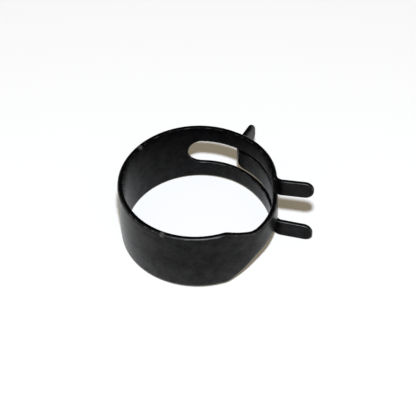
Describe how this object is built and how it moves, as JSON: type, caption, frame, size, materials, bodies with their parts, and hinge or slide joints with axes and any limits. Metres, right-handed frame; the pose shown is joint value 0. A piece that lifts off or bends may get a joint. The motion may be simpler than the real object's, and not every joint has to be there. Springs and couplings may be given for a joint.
{
  "type": "spring band hose clamp",
  "caption": "Black spring-steel band clamp rolled from one strip: a narrow tongue lies in a slotted fork, and outward-bent ears are pinched together to open the ring over a hose.",
  "frame": {"origin": "on the bore's axis at the middle of the strip's width", "axes": "+Z along the bore's axis; +X towards the side where the fork's ears stand out; +Y towards the slot and the tongue's ear"},
  "size_m": [0.0334, 0.0317, 0.014],
  "materials": {
    "blackened_steel": "blackened and oiled spring steel, dark grey-black, soft sheen with bare metal showing at a few worn edges"
  },
  "bodies": {
    "root": {"clamp_band": "blackened_steel"}
  },
  "joints": []
}
